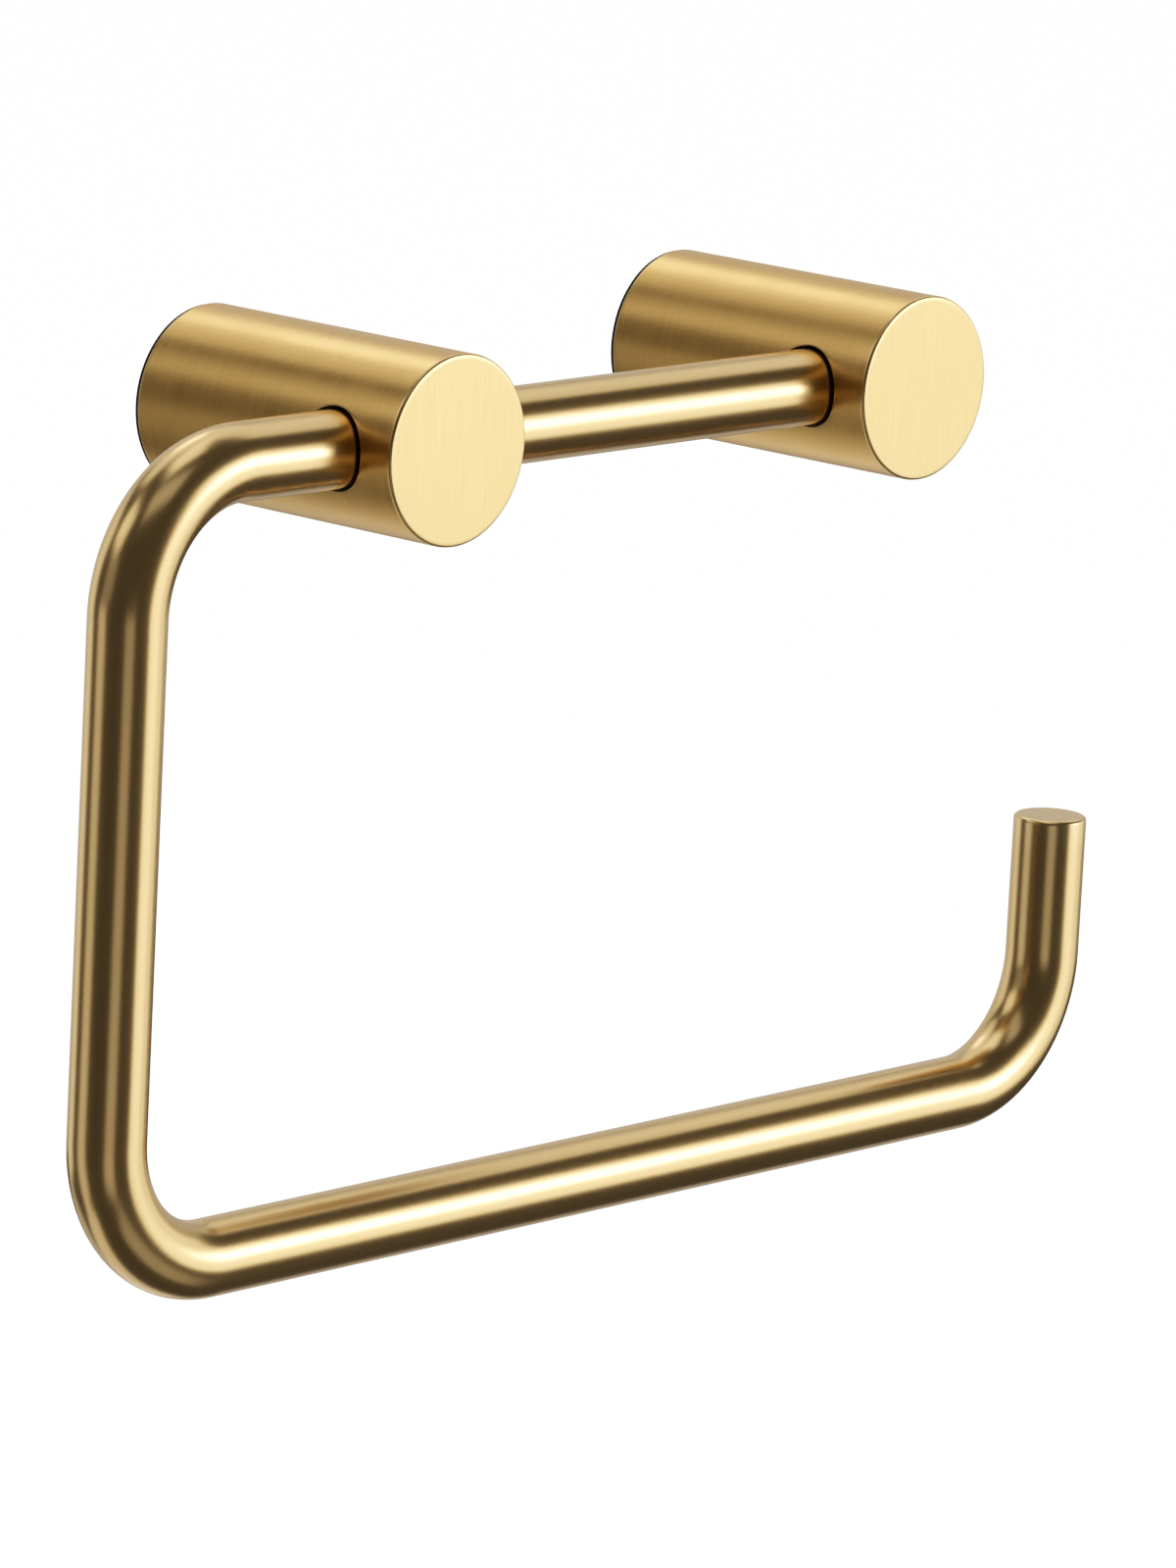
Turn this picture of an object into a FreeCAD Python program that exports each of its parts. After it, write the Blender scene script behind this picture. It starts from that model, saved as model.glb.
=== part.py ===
# Toilet paper holder: two round wall posts and one bent bar that swings in them.
# The wall is the plane y = 0, the holder stands out of it towards -Y, and +Z is up.
# The origin is on the wall, midway between the posts' axes.
import FreeCAD, Part
import math
import os
import Sketcher

driving_sizes = [
    ("post_pitch", 80, "post axis to post axis, along X"),
    ("post_dia", 22, "turned posts"),
    ("post_length", 40, "post without its gasket"),
    ("post_edge", 0.3, "chamfer round the front face"),
    ("socket_dia", 16.2, "hollow in the back of a post"),
    ("socket_depth", 14, "depth of that hollow"),
    ("gasket_thick", 0.5, "rubber ring between post and wall"),
    ("gasket_inset", 0.15, "ring stays this far inside the post's flank"),
    ("bar_dia", 9, "drawn round bar"),
    ("bar_out", 31, "bar axis from the wall"),
    ("bar_low", 0.3, "bar axis below the posts' axes"),
    ("bore_dia", 9.7, "cross bore in the posts"),
    ("bore_reach", 7, "blind bore past the right post's axis"),
    ("bar_end_gap", 0.6, "bar end to the bottom of the blind bore"),
    ("left_arm", 41.5, "left post axis to the left leg"),
    ("right_arm", 40, "right post axis to the tip leg"),
    ("hanger_drop", 91, "upper bar axis to lower bar axis"),
    ("bend_radius", 16, "bends, on the bar's centre line"),
    ("tip_rise", 33, "top of the tip above the lower bar axis"),
    ("tip_round", 0.5, "rounded edge of the tip"),
    ("bar_end_edge", 0.5, "chamfer on the hidden end"),
    ("neck_width", 3, "retaining groove round the bar"),
    ("neck_depth", 1.2, "depth of that groove"),
    ("bush_hole", 9.12, "running fit on the bar"),
    ("bush_length", 6.6, "length of a nylon bush"),
    ("bush_recess", 1.4, "bush end below the post's flank"),
    ("bush_edge", 0.12, "chamfer in both mouths of a bush"),
    ("spigot_dia", 16, "wall spigot inside the post"),
    ("spigot_length", 12, "length of the spigot"),
    ("spigot_edge", 0.5, "chamfer on the spigot's nose"),
    ("wall_hole", 4.5, "hole for a wall screw"),
    ("wall_head", 9, "countersink for the wall screw's head"),
    ("vee_out", 7, "V groove and lock screw, from the wall"),
    ("vee_half", 1.55, "half the V groove's width, and its depth"),
    ("thread_dia", 4, "grub screws"),
    ("screw_edge", 0.3, "chamfer on the grub screws"),
    ("key_flats", 2, "hexagon socket across its flats"),
    ("key_depth", 1.6, "depth of the hexagon socket"),
    ("lock_low", 10.6, "lock screw's outer end below the post's axis"),
    ("lock_length", 3.6, "lock screw with its cone"),
    ("cone_length", 1.5, "cone of the lock screw"),
    ("keeper_low", 10.4, "bar retaining screw's outer end below the post's axis"),
    ("keeper_length", 5, "bar retaining screw without its dog point"),
    ("dog_dia", 2.4, "dog point"),
    ("dog_length", 1.5, "length of the dog point"),
]

doc = FreeCAD.newDocument("toilet_paper_holder")
sheet = doc.addObject("Spreadsheet::Sheet", "sizes")
for row, (alias, number, note) in enumerate(driving_sizes, start=1):
    sheet.set(f"A{row}", alias)
    sheet.set(f"B{row}", str(number))
    sheet.set(f"C{row}", note)
    sheet.setAlias(f"B{row}", alias)
doc.recompute()

# A turned piece is drawn with its axis along its body's own Z.
out_of_wall = FreeCAD.Rotation(FreeCAD.Vector(1, 0, 0), 90)
along_bar = FreeCAD.Rotation(FreeCAD.Vector(0, 1, 0), 90)
upright = FreeCAD.Rotation()

post_places = {"left": "-sizes.post_pitch / 2", "right": "sizes.post_pitch / 2"}

# How closely a feature must meet what was worked out for it: shares of a volume, and millimetres.
pocket_share = 0.1
pipe_share = 0.005
groove_share = 0.02
middle_reach = 0.5
edge_reach = 0.01


def value(item, expression):
    return float(item.evalExpression(expression))


def new_body(label, rotation, across, out, up):
    """A body turned by rotation, its base at three expressions."""
    body = doc.addObject("PartDesign::Body", label)
    body.Label = label
    body.Placement = FreeCAD.Placement(FreeCAD.Vector(), rotation)
    body.setExpression("Placement.Base.x", across)
    body.setExpression("Placement.Base.y", out)
    body.setExpression("Placement.Base.z", up)
    return body


def new_sketch(body, role, name):
    sketch = body.newObject("Sketcher::SketchObject", f"{body.Name}_{name}")
    plane = next(item for item in body.Origin.OriginFeatures if item.Role == role)
    sketch.AttachmentSupport = [(plane, "")]
    sketch.MapMode = "FlatFace"
    doc.recompute()
    return sketch


def bind(sketch, kind, references, name, expression):
    """Adds a dimension to the sketch and ties it to the sheet."""
    limit = Sketcher.Constraint(kind, *references, value(sketch, expression))
    sketch.renameConstraint(sketch.addConstraint(limit), name)
    sketch.setExpression(f"Constraints.{name}", expression)


def draw_outline(sketch, corners):
    """A closed outline of straight edges through corners, each a pair of expressions."""
    points = [FreeCAD.Vector(value(sketch, across), value(sketch, along), 0) for across, along in corners]
    count = len(points)
    for index in range(count):
        sketch.addGeometry(Part.LineSegment(points[index], points[(index + 1) % count]))
    for index in range(count):
        sketch.addConstraint(Sketcher.Constraint("Coincident", index, 2, (index + 1) % count, 1))
    for index, (across, along) in enumerate(corners):
        bind(sketch, "DistanceX", (-1, 1, index, 1), f"across{index}", across)
        bind(sketch, "DistanceY", (-1, 1, index, 1), f"along{index}", along)


def draw_circle(sketch, across, along, radius):
    centre = FreeCAD.Vector(value(sketch, across), value(sketch, along), 0)
    sketch.addGeometry(Part.Circle(centre, FreeCAD.Vector(0, 0, 1), value(sketch, radius)))
    bind(sketch, "DistanceX", (-1, 1, 0, 3), "across", across)
    bind(sketch, "DistanceY", (-1, 1, 0, 3), "along", along)
    bind(sketch, "Radius", (0,), "radius", radius)


def turn(body, corners):
    """A turned solid, from corners given as radius and height."""
    sketch = new_sketch(body, "XZ_Plane", "section")
    draw_outline(sketch, corners)
    turned = body.newObject("PartDesign::Revolution", f"{body.Name}_turned")
    turned.Profile = sketch
    turned.ReferenceAxis = (sketch, ["V_Axis"])
    turned.Angle = 360
    doc.recompute()


def cut(body, sketch, name, expected, middle, settings, lengths):
    """A pocket whose removed volume and its middle, in the body's own frame, are compared."""
    before = body.Tip.Shape.Solids[0]
    pocket = body.newObject("PartDesign::Pocket", f"{body.Name}_{name}")
    pocket.Profile = sketch
    for key, setting in settings.items():
        setattr(pocket, key, setting)
    for key, expression in lengths.items():
        pocket.setExpression(key, expression)
    doc.recompute()
    after = pocket.Shape.Solids[0]
    removed = before.Volume - after.Volume
    if abs(removed - expected) > pocket_share * expected:
        raise RuntimeError(f"{pocket.Name} removed {removed:.1f} mm3, not about {expected:.1f}")
    found = (before.CenterOfMass * before.Volume - after.CenterOfMass * after.Volume) / removed
    if found.distanceToPoint(FreeCAD.Vector(*middle)) > middle_reach:
        raise RuntimeError(f"{pocket.Name} cut at {found}, not about {middle}")


def disc(diameter):
    return math.pi * diameter ** 2 / 4


def size(alias):
    return float(getattr(sheet, alias))


def post(side):
    """A turned post: hollow back for the spigot, cross bore for the bar, screw holes below."""
    body = new_body(f"{side}_post", out_of_wall, post_places[side], "-sizes.gasket_thick", "0")
    turn(body, [
        ("sizes.socket_dia / 2", "0"),
        ("sizes.post_dia / 2", "0"),
        ("sizes.post_dia / 2", "sizes.post_length - sizes.post_edge"),
        ("sizes.post_dia / 2 - sizes.post_edge", "sizes.post_length"),
        ("0", "sizes.post_length"),
        ("0", "sizes.socket_depth"),
        ("sizes.socket_dia / 2", "sizes.socket_depth"),
    ])
    flank = size("post_dia") / 2
    bar_height = size("bar_out") - size("gasket_thick")
    bore = new_sketch(body, "YZ_Plane", "bore")
    draw_circle(bore, "-sizes.bar_low", "sizes.bar_out - sizes.gasket_thick", "sizes.bore_dia / 2")
    bore_radius = size("bore_dia") / 2
    mean_flank = flank - bore_radius ** 2 / (8 * flank)  # the round flank's mean height over the bore
    bore_area = disc(size("bore_dia"))
    if side == "left":
        cut(body, bore, "bore_cut", bore_area * 2 * mean_flank, (0, -size("bar_low"), bar_height),
            {"Type": "ThroughAll", "SideType": "Symmetric"}, {})
    else:
        reach = size("bore_reach")
        cut(body, bore, "bore_cut", bore_area * (mean_flank + reach),
            ((reach - flank) / 2, -size("bar_low"), bar_height),
            {"SideType": "Two sides"}, {"Length": "sizes.post_dia", "Length2": "sizes.bore_reach"})
    lock_hole = new_sketch(body, "XZ_Plane", "lock_hole")
    draw_circle(lock_hole, "0", "sizes.vee_out - sizes.gasket_thick", "sizes.thread_dia / 2")
    socket_wall = size("socket_dia") / 2
    cut(body, lock_hole, "lock_hole_cut", disc(size("thread_dia")) * (flank - socket_wall),
        (0, -(flank + socket_wall) / 2, size("vee_out") - size("gasket_thick")),
        {"Reversed": True}, {"Length": "sizes.post_dia / 2"})
    if side == "right":
        keeper_hole = new_sketch(body, "XZ_Plane", "keeper_hole")
        draw_circle(keeper_hole, "0", "sizes.bar_out - sizes.gasket_thick", "sizes.thread_dia / 2")
        bore_wall = bore_radius + size("bar_low")
        cut(body, keeper_hole, "keeper_hole_cut", disc(size("thread_dia")) * (flank - bore_wall),
            (0, -(flank + bore_wall) / 2, bar_height),
            {"Reversed": True}, {"Length": "sizes.post_dia / 2"})


def wall_spigot(side):
    """The boss screwed to the wall inside the post, with a V groove for the lock screw."""
    body = new_body(f"{side}_wall_spigot", out_of_wall, post_places[side], "0", "0")
    turn(body, [
        ("sizes.wall_hole / 2", "0"),
        ("sizes.spigot_dia / 2", "0"),
        ("sizes.spigot_dia / 2", "sizes.vee_out - sizes.vee_half"),
        ("sizes.spigot_dia / 2 - sizes.vee_half", "sizes.vee_out"),
        ("sizes.spigot_dia / 2", "sizes.vee_out + sizes.vee_half"),
        ("sizes.spigot_dia / 2", "sizes.spigot_length - sizes.spigot_edge"),
        ("sizes.spigot_dia / 2 - sizes.spigot_edge", "sizes.spigot_length"),
        ("sizes.wall_head / 2", "sizes.spigot_length"),
        ("sizes.wall_hole / 2", "sizes.spigot_length - (sizes.wall_head - sizes.wall_hole) / 2"),
    ])


def wall_gasket(side):
    """The thin rubber ring between the post and the wall."""
    body = new_body(f"{side}_wall_gasket", out_of_wall, post_places[side], "0", "0")
    turn(body, [
        ("sizes.socket_dia / 2", "0"),
        ("sizes.post_dia / 2 - sizes.gasket_inset", "0"),
        ("sizes.post_dia / 2 - sizes.gasket_inset", "sizes.gasket_thick"),
        ("sizes.socket_dia / 2", "sizes.gasket_thick"),
    ])


def hex_socket(body):
    """The key socket in the outer end of a grub screw, which is at the body's own origin."""
    sketch = new_sketch(body, "XY_Plane", "socket")
    corner = "sizes.key_flats / sqrt(3)"
    draw_outline(sketch, [
        (corner, "0"),
        (f"{corner} / 2", "sizes.key_flats / 2"),
        (f"-{corner} / 2", "sizes.key_flats / 2"),
        (f"-{corner}", "0"),
        (f"-{corner} / 2", "-sizes.key_flats / 2"),
        (f"{corner} / 2", "-sizes.key_flats / 2"),
    ])
    hexagon = math.sqrt(3) / 2 * size("key_flats") ** 2
    cut(body, sketch, "socket_cut", hexagon * size("key_depth"), (0, 0, size("key_depth") / 2),
        {"Reversed": True}, {"Length": "sizes.key_depth"})


def lock_screw(side):
    """The cone-point grub screw under a post that pulls it onto the spigot."""
    body = new_body(f"{side}_lock_screw", upright, post_places[side], "-sizes.vee_out", "-sizes.lock_low")
    turn(body, [
        ("0", "0"),
        ("sizes.thread_dia / 2 - sizes.screw_edge", "0"),
        ("sizes.thread_dia / 2", "sizes.screw_edge"),
        ("sizes.thread_dia / 2", "sizes.lock_length - sizes.cone_length"),
        ("sizes.thread_dia / 2 - sizes.cone_length", "sizes.lock_length"),
        ("0", "sizes.lock_length"),
    ])
    hex_socket(body)


def bar_retaining_screw():
    """The dog-point grub screw that holds the bar endways by its groove."""
    body = new_body("bar_retaining_screw", upright, post_places["right"], "-sizes.bar_out",
                    "-sizes.keeper_low")
    turn(body, [
        ("0", "0"),
        ("sizes.thread_dia / 2 - sizes.screw_edge", "0"),
        ("sizes.thread_dia / 2", "sizes.screw_edge"),
        ("sizes.thread_dia / 2", "sizes.keeper_length"),
        ("sizes.dog_dia / 2", "sizes.keeper_length"),
        ("sizes.dog_dia / 2", "sizes.keeper_length + sizes.dog_length"),
        ("0", "sizes.keeper_length + sizes.dog_length"),
    ])
    hex_socket(body)


def bar_bush(label, across):
    """A thin nylon bush pressed into a cross bore."""
    body = new_body(label, along_bar, across, "-sizes.bar_out", "-sizes.bar_low")
    turn(body, [
        ("sizes.bush_hole / 2 + sizes.bush_edge", "0"),
        ("sizes.bore_dia / 2", "0"),
        ("sizes.bore_dia / 2", "sizes.bush_length"),
        ("sizes.bush_hole / 2 + sizes.bush_edge", "sizes.bush_length"),
        ("sizes.bush_hole / 2", "sizes.bush_length - sizes.bush_edge"),
        ("sizes.bush_hole / 2", "sizes.bush_edge"),
    ])


def draw_bar_path(sketch):
    """The bar's centre line from its hidden end to its tip: four runs and three bends."""
    inner_end = "sizes.post_pitch / 2 + sizes.bore_reach - sizes.bar_end_gap"
    left = "-sizes.post_pitch / 2 - sizes.left_arm"
    right = "sizes.post_pitch / 2 + sizes.right_arm"
    bend = "sizes.bend_radius"
    low = "-sizes.hanger_drop"
    runs = [
        ((inner_end, "0"), (f"{left} + {bend}", "0")),
        ((left, f"-{bend}"), (left, f"{low} + {bend}")),
        ((f"{left} + {bend}", low), (f"{right} - {bend}", low)),
        ((right, f"{low} + {bend}"), (right, f"{low} + sizes.tip_rise")),
    ]
    for run in runs:
        start, end = [FreeCAD.Vector(value(sketch, across), value(sketch, along), 0) for across, along in run]
        sketch.addGeometry(Part.LineSegment(start, end))
    bends = [
        (f"{left} + {bend}", f"-{bend}", 90),
        (f"{left} + {bend}", f"{low} + {bend}", 180),
        (f"{right} - {bend}", f"{low} + {bend}", 270),
    ]
    radius = size("bend_radius")
    for across, along, first in bends:
        centre = FreeCAD.Vector(value(sketch, across), value(sketch, along), 0)
        circle = Part.Circle(centre, FreeCAD.Vector(0, 0, 1), radius)
        sketch.addGeometry(Part.ArcOfCircle(circle, math.radians(first), math.radians(first + 90)))
    for index in range(3):
        arc = len(runs) + index
        sketch.addConstraint(Sketcher.Constraint("Tangent", index, 2, arc, 1))
        sketch.addConstraint(Sketcher.Constraint("Tangent", arc, 2, index + 1, 1))
        bind(sketch, "Radius", (arc,), f"bend{index}", bend)
    sketch.addConstraint(Sketcher.Constraint("Horizontal", 0))
    sketch.addConstraint(Sketcher.Constraint("Vertical", 1))
    sketch.addConstraint(Sketcher.Constraint("Horizontal", 2))
    sketch.addConstraint(Sketcher.Constraint("Vertical", 3))
    bind(sketch, "DistanceX", (-1, 1, 0, 1), "inner_end", inner_end)
    bind(sketch, "DistanceY", (-1, 1, 0, 1), "upper", "0")
    bind(sketch, "DistanceX", (-1, 1, 1, 1), "left", left)
    bind(sketch, "DistanceY", (-1, 1, 2, 1), "low", low)
    bind(sketch, "DistanceX", (-1, 1, 3, 1), "right", right)
    bind(sketch, "DistanceY", (-1, 1, 3, 2), "tip", f"{low} + sizes.tip_rise")


def ring_edge(shape, point):
    """The name of the circular edge whose centre is at point."""
    for index, edge in enumerate(shape.Edges, start=1):
        if isinstance(edge.Curve, Part.Circle) and edge.Curve.Center.distanceToPoint(point) < edge_reach:
            return f"Edge{index}"
    raise RuntimeError(f"no round edge at {point}")


def hanger_bar():
    """The bent bar: upper run in the posts, left leg, lower run for the roll, tip."""
    body = new_body("hanger_bar", upright, "0", "-sizes.bar_out", "-sizes.bar_low")
    path = new_sketch(body, "XZ_Plane", "path")
    draw_bar_path(path)
    section = new_sketch(body, "YZ_Plane", "section")
    section.setExpression("AttachmentOffset.Base.z",
                          "sizes.post_pitch / 2 + sizes.bore_reach - sizes.bar_end_gap")
    draw_circle(section, "0", "0", "sizes.bar_dia / 2")
    doc.recompute()
    bent = body.newObject("PartDesign::AdditivePipe", "hanger_bar_bent")
    bent.Profile = section
    bent.Spine = path
    doc.recompute()
    inner_end = size("post_pitch") / 2 + size("bore_reach") - size("bar_end_gap")
    left = size("post_pitch") / 2 + size("left_arm")
    right = size("post_pitch") / 2 + size("right_arm")
    runs = (inner_end + left) + size("hanger_drop") + (left + right) + size("tip_rise")
    centre_line = runs - 3 * (2 - math.pi / 2) * size("bend_radius")
    expected = centre_line * disc(size("bar_dia"))
    print(f"hanger_bar: centre line {centre_line:.1f} mm,"
          f" volume {bent.Shape.Volume:.0f} of {expected:.0f} mm3")
    if abs(bent.Shape.Volume - expected) > pipe_share * expected:
        raise RuntimeError("the bar's volume isn't its section times its length")

    neck = new_sketch(body, "XZ_Plane", "neck")
    draw_outline(neck, [
        ("sizes.post_pitch / 2 - sizes.neck_width / 2", "sizes.bar_dia / 2 - sizes.neck_depth"),
        ("sizes.post_pitch / 2 + sizes.neck_width / 2", "sizes.bar_dia / 2 - sizes.neck_depth"),
        ("sizes.post_pitch / 2 + sizes.neck_width / 2", "sizes.bar_dia / 2 + sizes.neck_depth"),
        ("sizes.post_pitch / 2 - sizes.neck_width / 2", "sizes.bar_dia / 2 + sizes.neck_depth"),
    ])
    groove = body.newObject("PartDesign::Groove", "hanger_bar_groove")
    groove.Profile = neck
    groove.ReferenceAxis = (neck, ["H_Axis"])
    groove.Angle = 360
    doc.recompute()
    ring = (disc(size("bar_dia")) - disc(size("bar_dia") - 2 * size("neck_depth"))) * size("neck_width")
    removed = bent.Shape.Volume - groove.Shape.Volume
    if abs(removed - ring) > groove_share * ring:
        raise RuntimeError(f"the groove removed {removed:.1f} mm3, not {ring:.1f}")

    tip_centre = FreeCAD.Vector(right, 0, size("tip_rise") - size("hanger_drop"))
    rounded = body.newObject("PartDesign::Fillet", "hanger_bar_tip_round")
    rounded.Base = (groove, [ring_edge(groove.Shape, tip_centre)])
    rounded.setExpression("Radius", "sizes.tip_round")
    doc.recompute()
    end_centre = FreeCAD.Vector(inner_end, 0, 0)
    chamfer = body.newObject("PartDesign::Chamfer", "hanger_bar_end_chamfer")
    chamfer.Base = (rounded, [ring_edge(rounded.Shape, end_centre)])
    chamfer.setExpression("Size", "sizes.bar_end_edge")
    doc.recompute()


for side in post_places:
    post(side)
    wall_spigot(side)
    wall_gasket(side)
    lock_screw(side)
bar_retaining_screw()
outer_end = "sizes.post_dia / 2 - sizes.bush_recess"
bar_bush("left_outer_bush", f"{post_places['left']} - ({outer_end})")
bar_bush("left_inner_bush", f"{post_places['left']} + {outer_end} - sizes.bush_length")
bar_bush("right_bush", f"{post_places['right']} - ({outer_end})")
hanger_bar()
doc.recompute()

for item in doc.Objects:
    if "Invalid" in item.State or "Error" in item.State:
        raise RuntimeError(f"{item.Name} failed: {item.State}")
pieces = [item for item in doc.Objects if item.TypeId == "PartDesign::Body"]
for piece in pieces:
    if piece.Shape.isNull() or not piece.Shape.isValid() or len(piece.Shape.Solids) != 1:
        raise RuntimeError(f"{piece.Label} isn't one valid solid")

os.makedirs("parts", exist_ok=True)
for piece in pieces:
    piece.Shape.exportStep(f"parts/{piece.Label}.step")
    box = piece.Shape.optimalBoundingBox()
    print(f"{piece.Label:22s} {piece.Shape.Volume:9.1f} mm3"
          f"  x {box.XMin:7.2f} {box.XMax:7.2f}  y {box.YMin:7.2f} {box.YMax:7.2f}"
          f"  z {box.ZMin:7.2f} {box.ZMax:7.2f}")
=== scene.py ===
import math
import bmesh
import bpy
from mathutils import Matrix, Vector


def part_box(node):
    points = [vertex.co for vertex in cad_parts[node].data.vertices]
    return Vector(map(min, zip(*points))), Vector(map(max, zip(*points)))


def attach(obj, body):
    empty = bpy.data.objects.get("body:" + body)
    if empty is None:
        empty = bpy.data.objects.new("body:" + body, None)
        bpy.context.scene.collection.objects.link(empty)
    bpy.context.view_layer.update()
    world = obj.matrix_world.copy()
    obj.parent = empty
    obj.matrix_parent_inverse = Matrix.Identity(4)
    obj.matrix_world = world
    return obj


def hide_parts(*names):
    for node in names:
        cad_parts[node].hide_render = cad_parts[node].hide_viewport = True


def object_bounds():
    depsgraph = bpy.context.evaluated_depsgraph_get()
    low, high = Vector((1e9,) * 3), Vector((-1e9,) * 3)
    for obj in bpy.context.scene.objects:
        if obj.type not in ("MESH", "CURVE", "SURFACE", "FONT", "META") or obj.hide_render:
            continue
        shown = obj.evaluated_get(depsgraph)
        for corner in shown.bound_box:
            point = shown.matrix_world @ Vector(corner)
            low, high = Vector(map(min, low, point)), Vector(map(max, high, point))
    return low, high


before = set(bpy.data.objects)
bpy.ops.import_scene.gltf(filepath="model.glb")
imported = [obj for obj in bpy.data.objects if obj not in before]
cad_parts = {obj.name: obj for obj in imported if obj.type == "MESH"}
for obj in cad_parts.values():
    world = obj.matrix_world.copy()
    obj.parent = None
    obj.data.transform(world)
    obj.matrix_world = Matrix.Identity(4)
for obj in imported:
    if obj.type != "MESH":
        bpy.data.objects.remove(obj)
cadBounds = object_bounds()
millimetre = 0.001
quarterTurn = math.radians(90)
weld = 0.001                                 # mm, points nearer than this become one
sameSpot = 0.01                              # mm, how near a point counts as lying in its place
ringSlack = 0.05                             # mm, how far a ring's points may stray from its radius
print("frame loaded:", len(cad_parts), "parts")


def boxInMillimetres(node):
    low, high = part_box(node)
    return low / millimetre, high / millimetre


def hexColour(text):
    # sRGB hex to the linear colour that a shader wants
    shares = [int(text[place:place + 2], 16) / 255 for place in (1, 3, 5)]
    linear = [share / 12.92 if share <= 0.04045 else ((share + 0.055) / 1.055) ** 2.4 for share in shares]
    return (*linear, 1)


def towards(azimuth, elevation):
    # a direction seen from the holder: azimuth 0 is straight out of the wall, 90 is to its right
    across, up = math.radians(azimuth), math.radians(elevation)
    return Vector((math.sin(across) * math.cos(up), -math.cos(across) * math.cos(up), math.sin(up)))


def addNode(tree, kind, settings=None, links=None):
    node = tree.nodes.new(kind)
    for name, value in (settings or {}).items():
        if isinstance(name, str) and hasattr(node, name):
            setattr(node, name, value)
        else:
            node.inputs[name].default_value = value
    for name, source in (links or {}).items():
        tree.links.new(source, node.inputs[name])
    return node


cameraView = {
    "azimuth": -47.84, "elevation": 11.96, "roll": 2.93,
    "distance": 1.0661,                      # m, a long lens from far off
    "lens": 207.9,
    "aim": (0.0055, -0.0018, -0.0045),       # from the middle of the holder's box
}


def placeCamera():
    middle = (cadBounds[0] + cadBounds[1]) / 2
    back = towards(cameraView["azimuth"], cameraView["elevation"])
    level = Vector((0, 0, 1)).cross(back).normalized()
    upright = back.cross(level)
    turned = Matrix((level, upright, back)).transposed().to_4x4()
    turned = turned @ Matrix.Rotation(math.radians(cameraView["roll"]), 4, "Z")
    lens = bpy.data.cameras.new("camera")
    lens.lens = cameraView["lens"]
    lens.clip_start = 0.01
    camera = bpy.data.objects.new("camera", lens)
    spot = middle + Vector(cameraView["aim"]) + back * cameraView["distance"]
    camera.matrix_world = Matrix.Translation(spot) @ turned
    bpy.context.scene.collection.objects.link(camera)
    bpy.context.scene.camera = camera


placeCamera()

room = {
    "fill": 0.08,                            # how bright the dark of the room is
    "backdrop": 4,                           # how bright it is to the camera
    "softboxDistance": 2.0,                  # m, from the holder
    "washEnergy": 5, "washAngle": 60,        # the sun-like wash and how many degrees it spreads
}
softboxes = {
    # azimuth, elevation, width and height in degrees, and brightness against white paper
    "keyCore": (41, 6, 18, 14, 5.0),
    "keySide": (36, 0, 34, 48, 1.35),
    "keyFlank": (66, -1, 28, 44, 0.9),
    "sweepRight": (100, 6, 50, 40, 0.4),
    "sweepBehind": (152, 4, 54, 44, 0.5),
    "overheadBack": (135, 54, 76, 30, 0.75),
    "overheadLow": (132, 34, 60, 12, 0.6),
    "overheadStrip": (153, 43, 14, 9, 1.8),
    "ceiling": (160, 82, 26, 26, 1.05),
    "lowBehind": (150, -38, 64, 24, 0.4),
    "floorBehind": (-170, -62, 70, 24, 0.6),
    "leftBehind": (-168, 0, 26, 50, 0.75),
    "leftLow": (-120, -22, 24, 40, 0.55),
    "leftEven": (-112, 12, 30, 22, 0.2),
    "leftHigh": (-126, 37, 28, 24, 0.95),
    "cameraLow": (-38, -22, 24, 28, 0.42),
    "frontLow": (12, -52, 50, 24, 0.28),
    "cameraHigh": (-45, 60, 40, 22, 0.42),
}


def addSoftbox(name):
    azimuth, elevation, across, up, brightness = softboxes[name]
    distance = room["softboxDistance"]
    direction = towards(azimuth, elevation)
    lamp = bpy.data.lights.new(name, "AREA")
    lamp.shape = "RECTANGLE"
    lamp.size = 2 * distance * math.tan(math.radians(across / 2))
    lamp.size_y = 2 * distance * math.tan(math.radians(up / 2))
    lamp.energy = brightness * math.pi * lamp.size * lamp.size_y
    box = bpy.data.objects.new(name, lamp)
    facing = direction.to_track_quat("Z", "Y").to_matrix().to_4x4()
    box.matrix_world = Matrix.Translation(direction * distance) @ facing
    box.visible_camera = False
    bpy.context.scene.collection.objects.link(box)


def lightFloor():
    # a broad wash from above that only the floor shows
    lamp = bpy.data.lights.new("floorWash", "SUN")
    lamp.energy = room["washEnergy"]
    lamp.angle = math.radians(room["washAngle"])
    wash = bpy.data.objects.new("floorWash", lamp)
    wash.visible_glossy = False
    bpy.context.scene.collection.objects.link(wash)


def paintRoom():
    world = bpy.data.worlds.new("room")
    bpy.context.scene.world = world
    world.use_nodes = True
    tree = world.node_tree
    tree.nodes.clear()
    path = addNode(tree, "ShaderNodeLightPath")
    dark = addNode(tree, "ShaderNodeBackground", {
        "Color": hexColour("#FFFFFF"), "Strength": room["fill"]})
    pale = addNode(tree, "ShaderNodeBackground", {
        "Color": hexColour("#FFFFFF"), "Strength": room["backdrop"]})
    mix = addNode(tree, "ShaderNodeMixShader", {}, {
        0: path.outputs["Is Camera Ray"], 1: dark.outputs[0], 2: pale.outputs[0]})
    addNode(tree, "ShaderNodeOutputWorld", {}, {"Surface": mix.outputs[0]})


for name in softboxes:
    addSoftbox(name)
lightFloor()
paintRoom()

toneShape = {"slope": 1.4, "knee": 0.69, "top": 1.4, "steps": 24, "reach": 2.0}


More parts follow.
